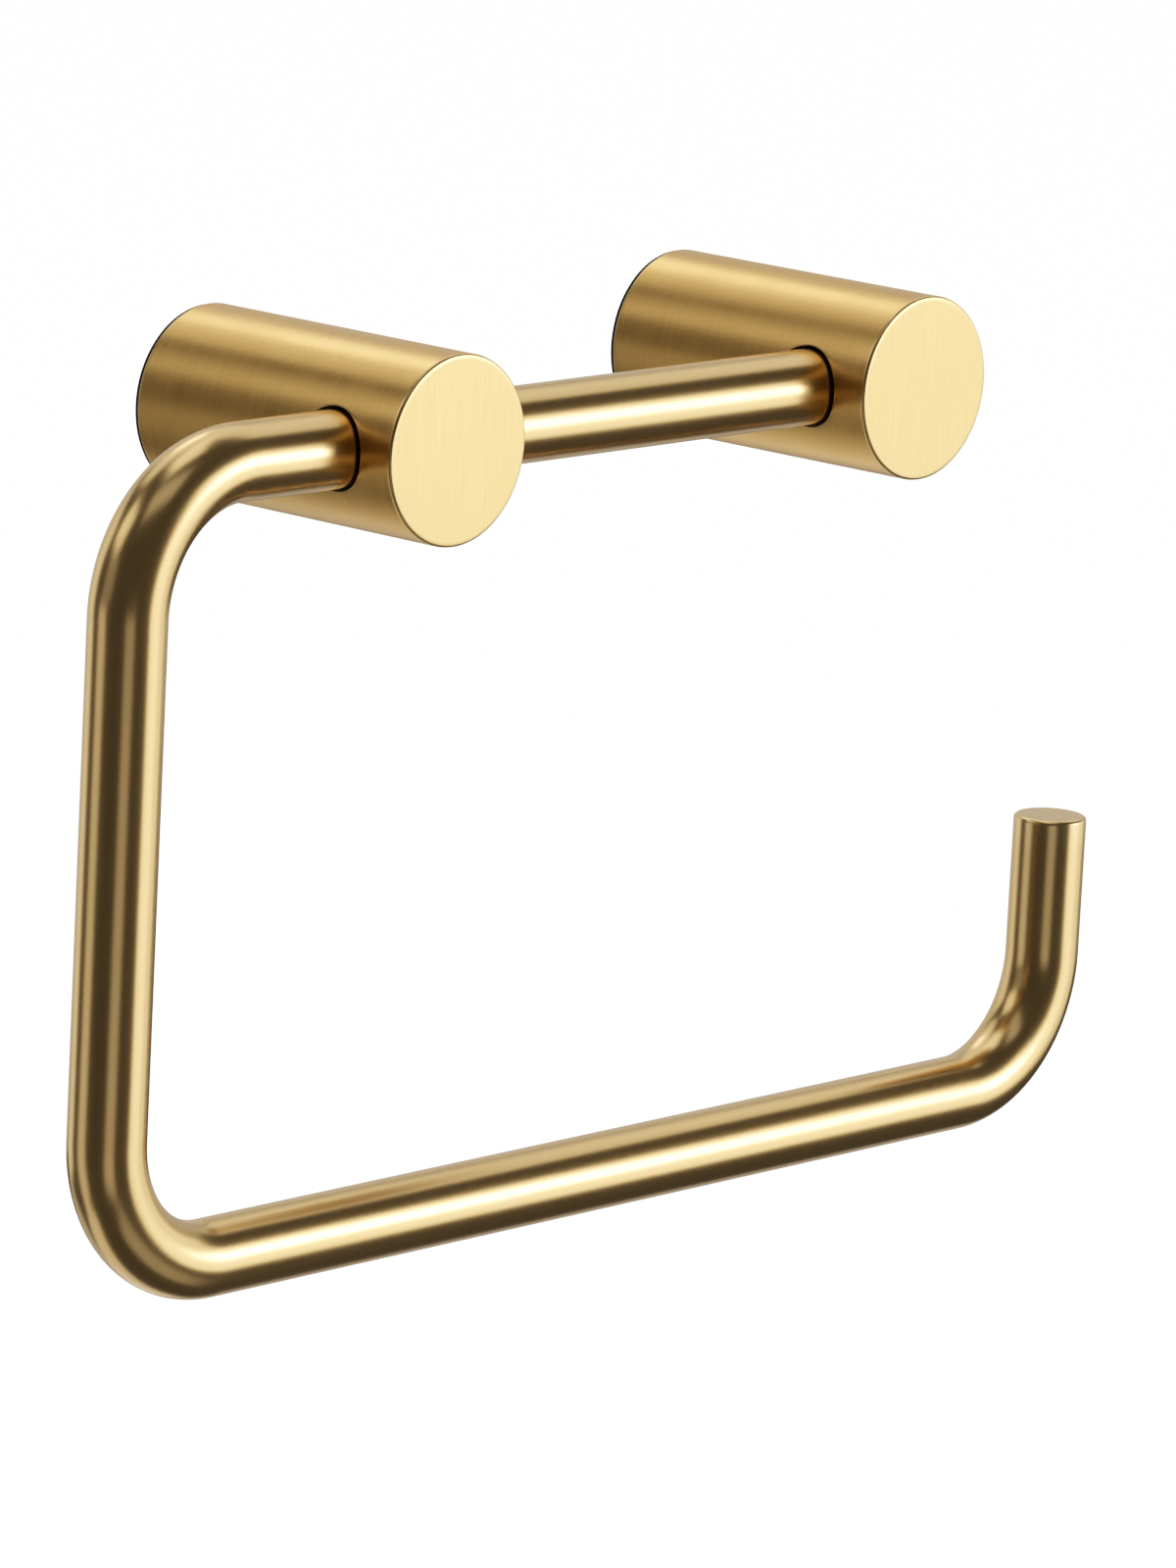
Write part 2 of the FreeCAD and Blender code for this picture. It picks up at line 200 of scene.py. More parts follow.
def setTone():
    # a print-like curve: deeper shadows, and a soft shoulder that turns highlights to cream
    view = bpy.context.scene.view_settings
    view.view_transform = "Standard"
    view.use_curve_mapping = True
    mapping = view.curve_mapping
    mapping.clip_max_x = toneShape["reach"]
    mapping.extend = "HORIZONTAL"
    points = mapping.curves[3].points
    points[1].location = (toneShape["reach"], 1)
    for step in range(1, toneShape["steps"]):
        level = toneShape["reach"] * (step / toneShape["steps"]) ** 2
        raised = level ** toneShape["slope"]
        points.new(level, min(toneShape["top"] * raised / (raised + toneShape["knee"]), 1))
    for channel in mapping.curves[:3]:       # or they would stop at 1
        channel.points[1].location = (toneShape["reach"], toneShape["reach"])
    mapping.update()


setTone()


def startMaterial(name):
    material = bpy.data.materials.new(name)
    material.use_nodes = True
    tree = material.node_tree
    tree.nodes.clear()
    return material, tree


floorShape = {
    "size": 8, "below": 1.0,                 # m; it lies this far below the holder's lowest point
    "fibre": 1.1, "fibreDepth": 0.1,         # mm
}


def paperMaterial():
    # Matt white paper sweep, which shows nearly flat with a faint fibre.
    material, tree = startMaterial("paperSweep")
    place = addNode(tree, "ShaderNodeTexCoord")
    fibre = addNode(tree, "ShaderNodeTexNoise", {
        "Scale": 1 / (floorShape["fibre"] * millimetre), "Detail": 3}, {"Vector": place.outputs["Object"]})
    bump = addNode(tree, "ShaderNodeBump", {
        "Strength": 0.2, "Distance": floorShape["fibreDepth"] * millimetre}, {"Height": fibre.outputs[0]})
    paper = addNode(tree, "ShaderNodeBsdfPrincipled", {
        "Base Color": hexColour("#F7F7F5"), "Roughness": 0.9, "Specular IOR Level": 0.2}, {
        "Normal": bump.outputs[0]})
    addNode(tree, "ShaderNodeOutputMaterial", {}, {"Surface": paper.outputs[0]})
    return material


def layFloor():
    work = bmesh.new()
    bmesh.ops.create_grid(work, x_segments=4, y_segments=4, size=floorShape["size"])
    drop = cadBounds[0].z - floorShape["below"]
    bmesh.ops.translate(work, vec=(0, 0, drop), verts=work.verts)
    mesh = bpy.data.meshes.new("floor")
    work.to_mesh(mesh)
    work.free()
    mesh.materials.append(paperMaterial())
    floor = bpy.data.objects.new("floor", mesh)
    floor.visible_glossy = False
    floor.visible_shadow = False
    bpy.context.scene.collection.objects.link(floor)


layFloor()
print("camera, light and floor set")


def brushedBrass(name, look):
    # Brass with a satin brushed and lacquered skin: a pale gold that stays clear in its reflections,
    # drawn out by fine lines along the brushing, with a rubbed, paler edge.
    material, tree = startMaterial(name)
    if look["rodGrain"]:
        place = addNode(tree, "ShaderNodeAttribute", {"attribute_name": "rodGrain"}).outputs["Vector"]
    else:
        place = addNode(tree, "ShaderNodeTexCoord").outputs["Object"]
    lineScale = [1 / (size * millimetre) for size in look["line"]]
    stretched = addNode(tree, "ShaderNodeMapping", {"Scale": lineScale}, {"Vector": place})
    lines = addNode(tree, "ShaderNodeTexNoise", {"Scale": 1, "Detail": 4, "Roughness": 0.6}, {
        "Vector": stretched.outputs[0]})
    cloud = addNode(tree, "ShaderNodeTexNoise", {"Scale": 1 / (look["cloud"] * millimetre), "Detail": 2}, {
        "Vector": place})
    worn = addNode(tree, "ShaderNodeAttribute", {"attribute_name": "edgeWear"})
    tint = addNode(tree, "ShaderNodeMapRange", {"From Min": 0.3, "From Max": 0.7}, {0: lines.outputs[0]})
    metal = addNode(tree, "ShaderNodeMix", {
        "data_type": "RGBA", 6: hexColour(look["deep"]), 7: hexColour(look["pale"])}, {0: tint.outputs[0]})
    rubbed = addNode(tree, "ShaderNodeMath", {"operation": "MULTIPLY", 1: look["wear"]}, {
        0: worn.outputs["Fac"]})
    colour = addNode(tree, "ShaderNodeMix", {"data_type": "RGBA", 7: hexColour(look["edge"])}, {
        0: rubbed.outputs[0], 6: metal.outputs[2]})
    both = addNode(tree, "ShaderNodeMath", {"operation": "ADD"}, {0: lines.outputs[0], 1: cloud.outputs[0]})
    rough = addNode(tree, "ShaderNodeMapRange", {
        "From Min": 0.7, "From Max": 1.3, "To Min": look["rough"][0], "To Max": look["rough"][1]}, {
        0: both.outputs[0]})
    bump = addNode(tree, "ShaderNodeBump", {"Strength": 1, "Distance": look["depth"] * millimetre}, {
        "Height": lines.outputs[0]})
    shader = addNode(tree, "ShaderNodeBsdfPrincipled", {"Metallic": 1}, {
        "Base Color": colour.outputs[2], "Roughness": rough.outputs[0], "Normal": bump.outputs[0]})
    addNode(tree, "ShaderNodeOutputMaterial", {}, {"Surface": shader.outputs[0]})
    return material


brassLooks = {
    # line: the grain's length along X, Y and Z in mm, a little coarser than real grit so that it shows
    # cloud and depth: how wide the uneven patches are and how deep the grain is, in mm
    "brushedBrassFlank": {
        "line": (10, 0.25, 10), "cloud": 14, "deep": "#EBBF79", "pale": "#F3CA86", "edge": "#F8DCA6",
        "wear": 0.6, "rough": (0.27, 0.37), "depth": 0.0012, "rodGrain": False},
    "brushedBrassFace": {
        "line": (0.3, 4, 9), "cloud": 12, "deep": "#EBC787", "pale": "#F3D196", "edge": "#F8DCA6",
        "wear": 0.6, "rough": (0.27, 0.37), "depth": 0.0022, "rodGrain": False},
    "satinBrassRod": {
        "line": (0.35, 0.35, 8), "cloud": 9, "deep": "#EDCA91", "pale": "#F1CF98", "edge": "#F8DCA6",
        "wear": 0.6, "rough": (0.25, 0.26), "depth": 0.00002, "rodGrain": True},
}
brass = {name: brushedBrass(name, look) for name, look in brassLooks.items()}


def turnedBrass():
    # Brass straight off the lathe: bright and uncoated, with the tool's fine rings round its axis.
    material, tree = startMaterial("turnedBrass")
    place = addNode(tree, "ShaderNodeTexCoord").outputs["Object"]
    ringWidth = 0.5                          # mm, the tool's feed, drawn coarser than the real 0.1
    cloudSize = 3.3                          # mm
    waveTurns = 20 / math.tau                # waves that this texture has in one unit at scale 1
    rings = addNode(tree, "ShaderNodeTexWave", {
        "bands_direction": "Y", "Scale": 1 / (waveTurns * ringWidth * millimetre),
        "Distortion": 0.4, "Detail": 2}, {"Vector": place})
    cloud = addNode(tree, "ShaderNodeTexNoise", {"Scale": 1 / (cloudSize * millimetre), "Detail": 3}, {
        "Vector": place})
    tone = addNode(tree, "ShaderNodeMix", {
        "data_type": "RGBA", 6: hexColour("#C9A55A"), 7: hexColour("#E0BF76")}, {0: cloud.outputs[0]})
    rough = addNode(tree, "ShaderNodeMapRange", {"To Min": 0.22, "To Max": 0.4}, {0: cloud.outputs[0]})
    bump = addNode(tree, "ShaderNodeBump", {"Strength": 1, "Distance": 0.003 * millimetre}, {
        "Height": rings.outputs["Fac"]})
    shader = addNode(tree, "ShaderNodeBsdfPrincipled", {"Metallic": 1}, {
        "Base Color": tone.outputs[2], "Roughness": rough.outputs[0], "Normal": bump.outputs[0]})
    addNode(tree, "ShaderNodeOutputMaterial", {}, {"Surface": shader.outputs[0]})
    return material


def stainlessSteel():
    # Stainless A2 grub screws: cool grey, lightly machined and a little uneven.
    material, tree = startMaterial("stainlessSteel")
    place = addNode(tree, "ShaderNodeTexCoord").outputs["Object"]
    gritSize = 0.3                           # mm
    grit = addNode(tree, "ShaderNodeTexNoise", {"Scale": 1 / (gritSize * millimetre), "Detail": 4}, {
        "Vector": place})
    tone = addNode(tree, "ShaderNodeMix", {
        "data_type": "RGBA", 6: hexColour("#B4B5B5"), 7: hexColour("#CDCECD")}, {0: grit.outputs[0]})
    rough = addNode(tree, "ShaderNodeMapRange", {"To Min": 0.22, "To Max": 0.42}, {0: grit.outputs[0]})
    bump = addNode(tree, "ShaderNodeBump", {"Strength": 1, "Distance": 0.002 * millimetre}, {
        "Height": grit.outputs[0]})
    shader = addNode(tree, "ShaderNodeBsdfPrincipled", {"Metallic": 1}, {
        "Base Color": tone.outputs[2], "Roughness": rough.outputs[0], "Normal": bump.outputs[0]})
    addNode(tree, "ShaderNodeOutputMaterial", {}, {"Surface": shader.outputs[0]})
    return material


def blackPlastic(name, look):
    material, tree = startMaterial(name)
    place = addNode(tree, "ShaderNodeTexCoord").outputs["Object"]
    grain = addNode(tree, "ShaderNodeTexNoise", {"Scale": 1 / (look["grain"] * millimetre), "Detail": 3}, {
        "Vector": place})
    tone = addNode(tree, "ShaderNodeMix", {
        "data_type": "RGBA", 6: hexColour(look["deep"]), 7: hexColour(look["pale"])}, {0: grain.outputs[0]})
    rough = addNode(tree, "ShaderNodeMapRange", {"To Min": look["rough"][0], "To Max": look["rough"][1]}, {
        0: grain.outputs[0]})
    bump = addNode(tree, "ShaderNodeBump", {"Strength": 1, "Distance": look["depth"] * millimetre}, {
        "Height": grain.outputs[0]})
    shader = addNode(tree, "ShaderNodeBsdfPrincipled", {"IOR": look["ior"]}, {
        "Base Color": tone.outputs[2], "Roughness": rough.outputs[0], "Normal": bump.outputs[0]})
    addNode(tree, "ShaderNodeOutputMaterial", {}, {"Surface": shader.outputs[0]})
    return material


# Moulded nylon has a faint sheen over near black, and the rubber is matt and slightly dusty.
mouldedNylon = blackPlastic("mouldedNylon", {
    "grain": 0.25, "deep": "#141312", "pale": "#201E1C", "rough": (0.35, 0.5), "depth": 0.003, "ior": 1.53})
mattRubber = blackPlastic("mattRubber", {
    "grain": 0.15, "deep": "#121110", "pale": "#1F1D1B", "rough": (0.7, 0.9), "depth": 0.006, "ior": 1.52})
turned = turnedBrass()
stainless = stainlessSteel()
print("finishes mixed")

meshAngles = {"sharpFrom": 28, "smoothUpTo": 40}     # degrees between two faces


def turnProfile(points, steps):
    # points are radius and height, and the axis is Z until the piece is laid in its place
    work = bmesh.new()
    work.verts.layers.float.new("edgeWear")
    verts = [work.verts.new((radius, 0, height)) for radius, height in points]
    edges = [work.edges.new(pair) for pair in zip(verts, verts[1:])]
    bmesh.ops.spin(work, geom=verts + edges, cent=(0, 0, 0), axis=(0, 0, 1), angle=math.tau,
                   steps=steps, use_merge=True)
    bmesh.ops.remove_doubles(work, verts=work.verts, dist=weld)
    bmesh.ops.recalc_face_normals(work, faces=work.faces)
    return work


def roundEdges(work, edges, width, segments=3):
    # rounds these edges, and marks what it made as rubbed
    made = bmesh.ops.bevel(work, geom=edges, offset=width, offset_type="OFFSET", segments=segments,
                           profile=0.5, affect="EDGES", clamp_overlap=True, material=-1)
    worn = work.verts.layers.float["edgeWear"]
    for vert in made["verts"]:
        vert[worn] = 1


def sharpEdges(work):
    least = math.radians(meshAngles["sharpFrom"])
    return [edge for edge in work.edges if edge.is_manifold and edge.calc_face_angle(0) > least]


def newOf(geometry, kind):
    return [item for item in geometry if isinstance(item, kind)]


def growRing(work, edges, move):
    # extrudes a ring of edges, places its new vertices and returns the new ring
    grown = bmesh.ops.extrude_edge_only(work, edges=edges)["geom"]
    verts = newOf(grown, bmesh.types.BMVert)
    for vert in verts:
        vert.co = move(vert.co.copy())
    fresh = set(verts)
    return [edge for edge in newOf(grown, bmesh.types.BMEdge) if all(vert in fresh for vert in edge.verts)]


def closeRing(work, edges, middle, shares):
    # closes a ring with smaller and smaller rings, down to a pole
    now = 1
    for share in shares:
        factor = share / now
        edges = growRing(work, edges, lambda spot: middle + (spot - middle) * factor)
        now = share
    grown = growRing(work, edges, lambda spot: (spot + middle) / 2)
    bmesh.ops.pointmerge(work, verts=list({vert for edge in grown for vert in edge.verts}), merge_co=middle)


def finishPiece(work, name, body, finishes):
    bmesh.ops.recalc_face_normals(work, faces=work.faces)
    if work.calc_volume(signed=True) < 0:    # the bar's open loop can turn the whole shell inside out
        bmesh.ops.reverse_faces(work, faces=work.faces)
    bmesh.ops.scale(work, vec=(millimetre,) * 3, verts=work.verts)
    mesh = bpy.data.meshes.new(name)
    work.to_mesh(mesh)
    work.free()
    for finish in finishes:
        mesh.materials.append(finish)
    mesh.shade_smooth()
    mesh.set_sharp_from_angle(angle=math.radians(meshAngles["smoothUpTo"]))
    piece = bpy.data.objects.new(name + "_fine", mesh)
    bpy.context.scene.collection.objects.link(piece)
    even = piece.modifiers.new("evenShading", "WEIGHTED_NORMAL")
    even.keep_sharp = True
    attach(piece, body)
    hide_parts(name)
    print(name, len(mesh.polygons), "faces")


postShape = {
    "aroundCells": 144, "cellHeight": 0.5,
    "frontEdge": 0.3, "backEdge": 0.15, "rimEdge": 0.1, "screwEdge": 0.2,
    "boreBlock": 6.6, "screwBlock": 3.2,     # mm, half the square of cells that a hole is let into
    "keeperBlock": 2.7,                      # the same, for the retaining screw's hole inside the bore
    "blockBorder": 0.6,                      # how far past that square its border's points may lie
    "rimRings": 6,                           # rings of faces between that square and the hole's rim
    "screwRadius": 2.0, "throatStep": 0.6,
    "socketFit": 0.1, "socketDepth": 14,
    "boreMouth": 5, "boreStart": 4,          # where its rings begin, ahead of the right post's axis
    "boreReach": 7,                          # blind bore past that axis
    "faceRings": (0.94, 0.5, 0.15), "socketRings": (0.9, 0.3), "boreRings": (0.7, 0.3),
}


def rollSheet(work, radius, back, front, cells, holes, place):
    # Lays a flat sheet of cells, opens its holes and rolls it round Y with its seam on top.
    rows = round((back - front) / postShape["cellHeight"])
    laid = bmesh.ops.create_grid(work, x_segments=cells, y_segments=rows, size=1 / 2)["verts"]
    bmesh.ops.scale(work, vec=(math.tau * radius, back - front, 1), verts=laid)
    bmesh.ops.translate(work, vec=(0, (back + front) / 2, 0), verts=laid)
    sheet = set(laid)
    rims = []
    for hole in holes:
        middle = Vector((radius * (hole["angle"] + math.asin(hole["shift"] / radius)), hole["along"], 0))

        def near(spot, reach):
            return abs(spot.x - middle.x) < reach and abs(spot.y - middle.y) < reach

        faces = {face for vert in sheet if vert.is_valid for face in vert.link_faces}
        block = [face for face in faces if near(face.calc_center_median(), hole["block"])]
        bmesh.ops.delete(work, geom=block, context="FACES")
        sheet = {vert for vert in sheet if vert.is_valid}
        outer = hole["block"] + postShape["blockBorder"]
        border = {edge for vert in sheet for edge in vert.link_edges
                  if edge.is_boundary and all(near(end.co, outer) for end in edge.verts)}

        def ontoRim(spot):
            away = (spot - middle).normalized() * hole["radius"]
            around = radius * (hole["angle"] + math.asin((hole["shift"] + away.x) / radius))
            return Vector((around, hole["along"] + away.y, 0))

        rim = list(border)
        for left in range(postShape["rimRings"], 0, -1):
            rim = growRing(work, rim, lambda spot: spot + (ontoRim(spot) - spot) / left)
            sheet |= {vert for edge in rim for vert in edge.verts}
        rims.append(rim)
    for vert in sheet:
        angle = vert.co.x / radius
        vert.co = place @ Vector((radius * math.sin(angle), vert.co.y, -radius * math.cos(angle)))
    seam = [vert for vert in sheet if any(edge.is_boundary for edge in vert.link_edges)]
    rimAll = {vert for rim in rims for edge in rim for vert in edge.verts}
    bmesh.ops.remove_doubles(work, verts=[vert for vert in seam if vert not in rimAll], dist=weld)
    return rims


def ringAt(work, coordinate, level, radius, middle):
    # the open ring of edges that lies at this level and this far from the middle
    def onIt(spot):
        flat = spot - middle
        flat[coordinate] = 0
        return abs(spot[coordinate] - level) < sameSpot and abs(flat.length - radius) < ringSlack

    return [edge for edge in work.edges if edge.is_boundary and all(onIt(end.co) for end in edge.verts)]


def postHoles(side):
    # the lock screw's hole, the cross bore's mouths, and on the right the retaining screw's hole
    bushLow, bushHigh = boxInMillimetres("right_bush")
    lockLow, lockHigh = boxInMillimetres(f"{side}_lock_screw")
    boreHeight = (bushHigh.z + bushLow.z) / 2
    bore = {"radius": (bushHigh.z - bushLow.z) / 2, "along": round((bushLow.y + bushHigh.y) / 2, 2),
            "block": postShape["boreBlock"]}
    left = {**bore, "angle": -quarterTurn, "shift": -boreHeight}
    right = {**bore, "angle": quarterTurn, "shift": boreHeight}
    lock = {"radius": postShape["screwRadius"], "along": round((lockLow.y + lockHigh.y) / 2, 2),
            "block": postShape["screwBlock"], "shift": 0, "angle": 0}
    keeper = {**lock, "along": bore["along"]}
    return Vector((0, bore["along"], boreHeight)), [lock, left, right if side == "left" else keeper]


def growThroat(work, rim, meeting):
    # takes a screw's hole up from the flank to the rim that it meets inside
    step = Vector((0, 0, postShape["throatStep"]))
    throat = growRing(work, rim, lambda spot: spot + step)
    bmesh.ops.bridge_loops(work, edges=throat + meeting)


def boreThrough(work, mouths, bore, axis):
    # the left post's cross bore: both mouths reach in to the middle and join there
    for mouth in mouths:
        growRing(work, mouth, lambda spot: Vector((axis.x, spot.y, spot.z)))
    reach = bore["radius"] + 2 * ringSlack
    meeting = [vert for vert in work.verts
               if abs(vert.co.x - axis.x) < weld and abs(vert.co.y - bore["along"]) < reach]
    bmesh.ops.remove_doubles(work, verts=meeting, dist=weld)


def boreBlind(work, mouthRim, keeperRim, bore, keeper, axis, boreMiddle):
    # the right post's cross bore: a closed tube with the retaining screw's hole in its underside
    mouth = growRing(work, mouthRim, lambda spot: Vector((axis.x - postShape["boreMouth"], spot.y, spot.z)))
    place = Matrix.Translation(boreMiddle) @ Matrix.Rotation(-quarterTurn, 4, "Z")
    begin = axis.x - postShape["boreStart"]
    blindEnd = axis.x + postShape["boreReach"]
    keeperInside = {**keeper, "along": axis.x, "block": postShape["keeperBlock"]}
    boreRims = rollSheet(work, bore["radius"], blindEnd, begin, len(mouth), [keeperInside], place)
    start = ringAt(work, 0, begin, bore["radius"], boreMiddle)
    bmesh.ops.bridge_loops(work, edges=mouth + start)
    end = ringAt(work, 0, blindEnd, bore["radius"], boreMiddle)
    closeRing(work, end, Vector((blindEnd, boreMiddle.y, boreMiddle.z)), postShape["boreRings"])
    growThroat(work, keeperRim, boreRims[0])


def makePost(side):
    low, high = boxInMillimetres(f"{side}_post")
    spigotHigh = boxInMillimetres(f"{side}_wall_spigot")[1]
    axis = Vector(((low.x + high.x) / 2, 0, 0))
    flank = (high.z - low.z) / 2
    socket = round(spigotHigh.z, 1) + postShape["socketFit"]
    inner = high.y - postShape["socketDepth"]
    boreMiddle, holes = postHoles(side)

    work = bmesh.new()
    work.verts.layers.float.new("edgeWear")
    place = Matrix.Translation(axis)
    cells = postShape["aroundCells"]
    rims = rollSheet(work, flank, high.y, low.y, cells, holes, place)
    socketRims = rollSheet(work, socket, high.y, inner, cells, holes[:1], place)
    growThroat(work, rims[0], socketRims[0])
    if side == "left":
        boreThrough(work, rims[1:], holes[1], axis)
        thirdEdge = postShape["rimEdge"]
    else:
        boreBlind(work, rims[1], rims[2], holes[1], holes[2], axis, boreMiddle)
        thirdEdge = postShape["screwEdge"]

    # front face, back ring and the bottom of the socket
    front = ringAt(work, 1, low.y, flank, axis)
    closeRing(work, front, Vector((axis.x, low.y, 0)), postShape["faceRings"])
    back = ringAt(work, 1, high.y, flank, axis)
    growRing(work, back, lambda spot: Vector((
        axis.x + (spot.x - axis.x) * socket / flank, spot.y, spot.z * socket / flank)))
    meeting = {vert for edge in ringAt(work, 1, high.y, socket, axis) for vert in edge.verts}
    bmesh.ops.remove_doubles(work, verts=list(meeting), dist=sameSpot)
    socketEnd = ringAt(work, 1, inner, socket, axis)
    closeRing(work, socketEnd, Vector((axis.x, inner, 0)), postShape["socketRings"])
    bmesh.ops.recalc_face_normals(work, faces=work.faces)

    rounded = [(rims[0], postShape["screwEdge"]), (rims[1], postShape["rimEdge"]), (rims[2], thirdEdge),
               (front, postShape["frontEdge"]), (back, postShape["backEdge"])]
    for edges, width in rounded:
        roundEdges(work, [edge for edge in edges if edge.is_valid], width)
    for face in work.faces:
        face.material_index = 1 if face.calc_center_median().y < low.y + sameSpot else 0
    finishPiece(work, f"{side}_post", "wall_posts",
                [brass["brushedBrassFlank"], brass["brushedBrassFace"]])


for side in ("left", "right"):
    makePost(side)
print("posts made")

barShape = {
    "steps": 96, "bendRings": 36, "runRing": 4,
    "bendRadius": 16, "tipRise": 33,         # tip above the lower run's axis
    "hiddenEnd": 6.4,                        # past the right post's axis
    "neckHalf": 1.5, "neckDepth": 1.2,
    "tipEdge": 0.5, "endEdge": 0.5, "neckEdge": 0.15,
    "endRings": (0.4, 0.85),                 # shares of the radius
    "endZone": 1,                            # no ring lies this near to an end or past the neck
}


def barLayout():
    low, high = boxInMillimetres("hanger_bar")
    postLow, postHigh = boxInMillimetres("right_post")
    radius = (high.y - low.y) / 2
    bend = barShape["bendRadius"]
    left, right = low.x + radius, high.x - radius
    upper, lower = high.z - radius, low.z + radius
    postAxis = (postLow.x + postHigh.x) / 2
    start = postAxis + barShape["hiddenEnd"]
    runs = [start - left - bend, upper - lower - 2 * bend, right - left - 2 * bend,
            barShape["tipRise"] - bend]
    return radius, start, upper, (low.y + high.y) / 2, runs


def bendBar(work, start, upper, out, runs):
    # moves the straight bar onto its path: four runs with a quarter bend between them
    bend = barShape["bendRadius"]
    grain = work.verts.layers.float_vector["rodGrain"]
    for vert in work.verts:
        inward, sideways, along = vert.co
        vert[grain] = vert.co * millimetre
        across, height, heading = start, upper, math.pi
        for run in runs:
            step = min(along, run)
            across += step * math.cos(heading)
            height += step * math.sin(heading)
            turn = min((along - step) / bend, quarterTurn)
            across += bend * (math.sin(heading + turn) - math.sin(heading))
            height += bend * (math.cos(heading) - math.cos(heading + turn))
            heading += turn
            along = max(along - step - turn * bend, 0)
        vert.co = Vector((across - inward * math.sin(heading), out + sideways,
                          height + inward * math.cos(heading)))


def ringsAlongBar(runs):
    # the length along the bar at which each ring of faces lies, and the whole length
    stations, along = [], 0
    arc = barShape["bendRadius"] * quarterTurn
    for index, run in enumerate(runs):
        pieces = round(run / barShape["runRing"])
        stations += [along + run * step / pieces for step in range(1, pieces + 1)]
        along += run
        if index < len(runs) - 1:
            pieces = barShape["bendRings"]
            stations += [along + arc * step / pieces for step in range(1, pieces + 1)]
            along += arc
    return stations, along


def makeBar():
    radius, start, upper, out, runs = barLayout()
    stations, length = ringsAlongBar(runs)
    neck, zone = barShape["hiddenEnd"], barShape["endZone"]
    neckLow, neckHigh = neck - barShape["neckHalf"], neck + barShape["neckHalf"]
    floor = radius - barShape["neckDepth"]
    innerRing, outerRing = [radius * share for share in barShape["endRings"]]
    plain = [(radius, place) for place in stations if place > neckHigh + zone]
    work = turnProfile([
        (0, 0), (innerRing, 0), (outerRing, 0), (radius, 0), (radius, neckLow), (floor, neckLow),
        (floor, neckHigh), (radius, neckHigh), *plain, (outerRing, length), (innerRing, length),
        (0, length)], barShape["steps"])
    work.verts.layers.float_vector.new("rodGrain")
    sharp = sharpEdges(work)
    tip = [edge for edge in sharp if edge.verts[0].co.z > length - zone]
    end = [edge for edge in sharp if edge.verts[0].co.z < zone]
    neckEdges = [edge for edge in sharp if zone < edge.verts[0].co.z < length - zone]
    roundEdges(work, neckEdges, barShape["neckEdge"], 2)
    roundEdges(work, [edge for edge in end if edge.is_valid], barShape["endEdge"], 2)
    roundEdges(work, [edge for edge in tip if edge.is_valid], barShape["tipEdge"], 5)
    bendBar(work, start, upper, out, runs)
    finishPiece(work, "hanger_bar", "hanger", [brass["satinBrassRod"]])


makeBar()
print("hanger bar made")

spigotShape = {
    "steps": 96, "edge": 0.08,
    "wallHole": 2.25, "headHole": 4.5, "vee": 7, "veeHalf": 1.55, "noseEdge": 0.5,
}
gasketShape = {"steps": 96, "edge": 0.08, "inner": 8.1}


def layOutOfWall(work, across):
    turn = Matrix.Translation((across, 0, 0)) @ Matrix.Rotation(quarterTurn, 4, "X")
    bmesh.ops.transform(work, matrix=turn, verts=work.verts)


def makeSpigot(side):
    low, high = boxInMillimetres(f"{side}_wall_spigot")
    radius, length = round(high.z, 1), -low.y
    vee, half = spigotShape["vee"], spigotShape["veeHalf"]
    hole, head = spigotShape["wallHole"], spigotShape["headHole"]
    nose = spigotShape["noseEdge"]
    work = turnProfile([
        (hole, 0), (radius, 0), (radius, vee - half), (radius - half, vee), (radius, vee + half),
        (radius, length - nose), (radius - nose, length), (head, length), (hole, length - head + hole),
        (hole, 0)], spigotShape["steps"])
    roundEdges(work, sharpEdges(work), spigotShape["edge"], 2)
    layOutOfWall(work, round((low.x + high.x) / 2, 1))
    finishPiece(work, f"{side}_wall_spigot", "wall_posts", [turned])


def makeGasket(side):
    low, high = boxInMillimetres(f"{side}_wall_gasket")
    inner, outer, thick = gasketShape["inner"], high.z, high.y - low.y
    work = turnProfile([(inner, 0), (outer, 0), (outer, thick), (inner, thick), (inner, 0)],
                       gasketShape["steps"])
    roundEdges(work, sharpEdges(work), gasketShape["edge"], 3)
    layOutOfWall(work, round((low.x + high.x) / 2, 1))
    finishPiece(work, f"{side}_wall_gasket", "wall_posts", [mattRubber])


for side in ("left", "right"):
    makeSpigot(side)
    makeGasket(side)
print("wall fixings made")

bushShape = {"steps": 96, "edge": 0.06, "hole": 4.56}


def makeBush(name):
    low, high = boxInMillimetres(name)
    outer, length = (high.z - low.z) / 2, high.x - low.x
    hole = bushShape["hole"]
    work = turnProfile([(hole, 0), (outer, 0), (outer, length), (hole, length), (hole, 0)],
                       bushShape["steps"])
    roundEdges(work, sharpEdges(work), bushShape["edge"], 2)
    place = Matrix.Translation((low.x, (low.y + high.y) / 2, (low.z + high.z) / 2))
    bmesh.ops.transform(work, matrix=place @ Matrix.Rotation(quarterTurn, 4, "Y"), verts=work.verts)
    finishPiece(work, name, "wall_posts", [mouldedNylon])


for name in ("left_outer_bush", "left_inner_bush", "right_bush"):
    makeBush(name)

screwShape = {
    "steps": 96, "edge": 0.06, "radius": 2.0,
    "pitch": 0.7, "threadDepth": 0.3,
    "threadTurns": (0.15, 0.5, 0.65),        # shares of the pitch: crest ends, root begins, root ends
    "mouth": 1.5, "flats": 2, "keyDepth": 1.6, "keyCone": 0.3, "keyRing": 0.6,
    "coneLength": 1.5, "dogRadius": 1.2, "dogLength": 1.5,
}


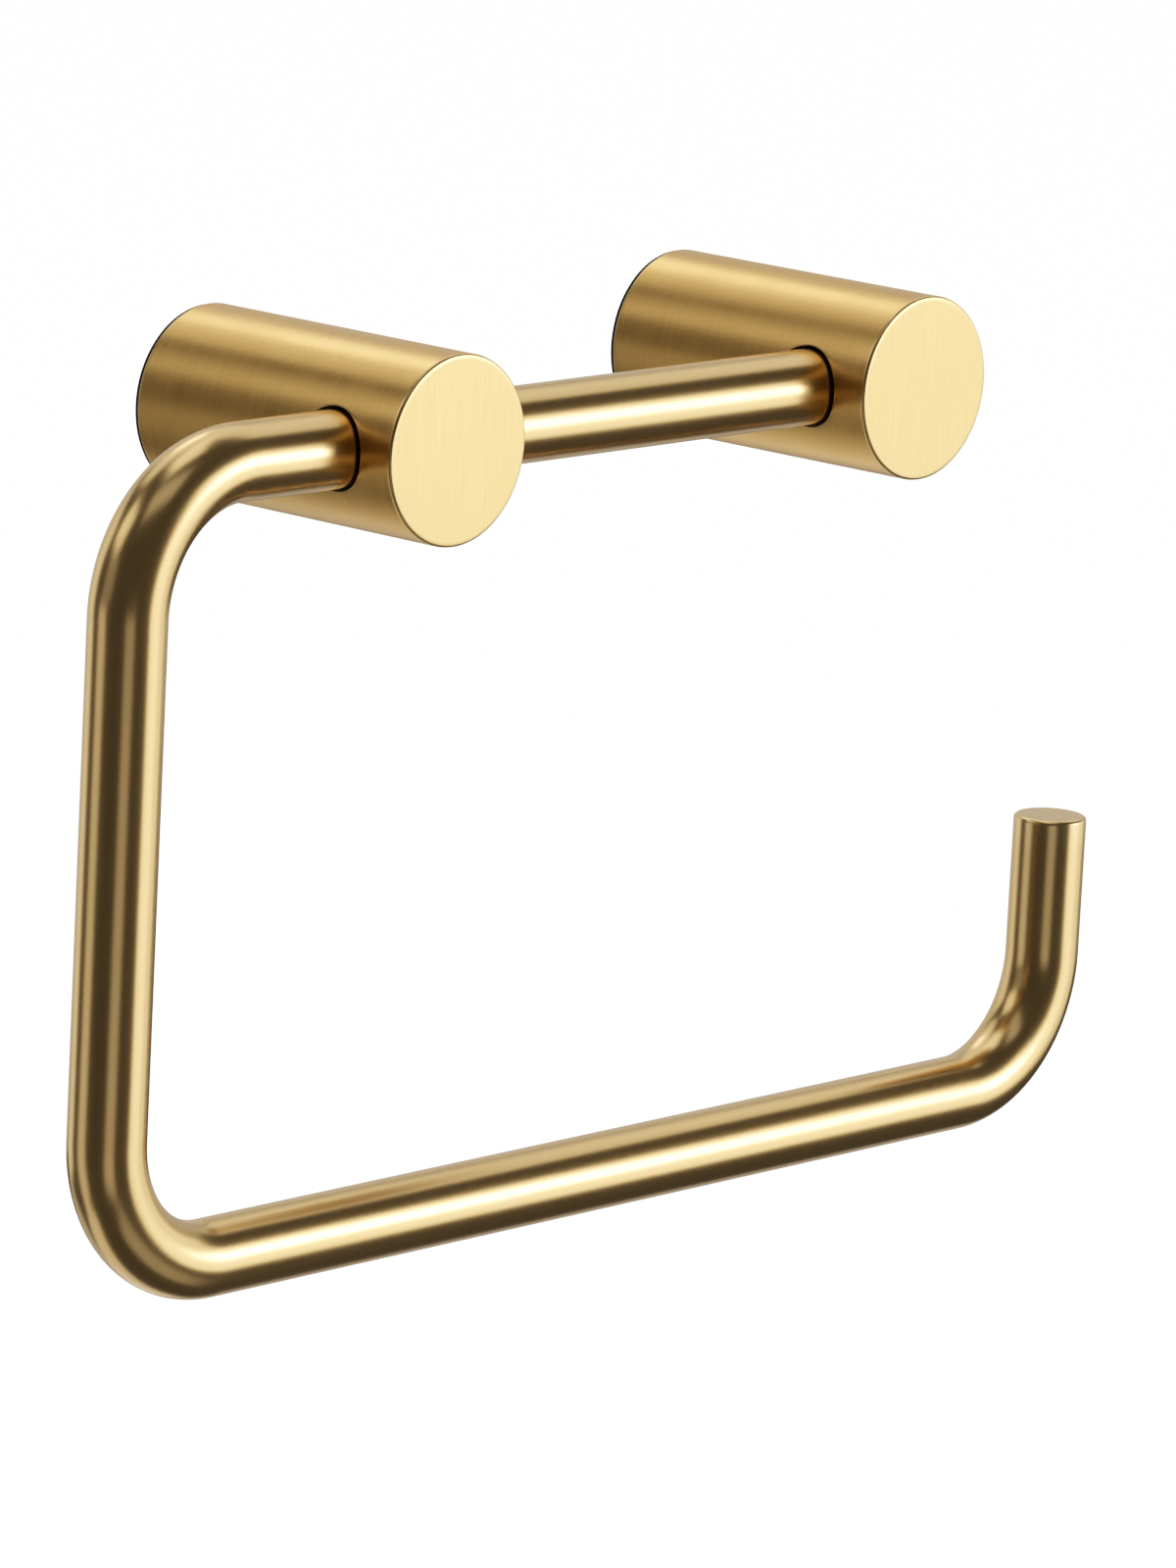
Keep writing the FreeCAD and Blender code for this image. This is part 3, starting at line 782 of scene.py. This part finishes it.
def threadProfile(threaded):
    radius, pitch = screwShape["radius"], screwShape["pitch"]
    root = radius - screwShape["threadDepth"]
    crestEnd, rootStart, rootEnd = [share * pitch for share in screwShape["threadTurns"]]
    profile = []
    height = pitch / 2
    while height + pitch < threaded:
        profile += [(radius, height), (radius, height + crestEnd), (root, height + rootStart),
                    (root, height + rootEnd)]
        height += pitch
    return [(root, 0), *profile, (radius, height), (radius, threaded)]


def ontoHexagon(spot):
    # moves a point of the mouth's ring out or in to the key socket's hexagon
    around = math.atan2(spot.y, spot.x) % math.radians(60) - math.radians(30)
    return spot.normalized() * (screwShape["flats"] / 2 / math.cos(around))


def makeScrew(name, point):
    # a grub screw, its key socket down; point is its end as radius and height below the top
    low, high = boxInMillimetres(name)
    length = high.z - low.z
    thread = threadProfile(length + point[0][1])
    end = [(pointRadius, length + below) for pointRadius, below in point]
    work = turnProfile([(screwShape["mouth"], 0), *thread, *end], screwShape["steps"])
    mouth = ringAt(work, 2, 0, screwShape["mouth"], Vector((0, 0, 0)))
    rim = growRing(work, mouth, ontoHexagon)
    wall = Vector((0, 0, screwShape["keyDepth"] - screwShape["keyCone"]))
    deep = growRing(work, rim, lambda spot: spot + wall)
    closeRing(work, deep, Vector((0, 0, screwShape["keyDepth"])), (screwShape["keyRing"],))
    bmesh.ops.recalc_face_normals(work, faces=work.faces)
    roundEdges(work, rim, screwShape["edge"], 2)
    place = Matrix.Translation(((low.x + high.x) / 2, (low.y + high.y) / 2, low.z))
    bmesh.ops.transform(work, matrix=place, verts=work.verts)
    finishPiece(work, name, "wall_posts", [stainless])


thick, coneLength = screwShape["radius"], screwShape["coneLength"]
dogRadius, dogLength = screwShape["dogRadius"], screwShape["dogLength"]
cone = [(thick, -coneLength), (thick - coneLength, 0), (0, 0)]
dog = [(thick, -dogLength), (dogRadius, -dogLength), (dogRadius, 0), (0, 0)]
makeScrew("left_lock_screw", cone)
makeScrew("right_lock_screw", cone)
makeScrew("bar_retaining_screw", dog)
print("bushes and screws made")
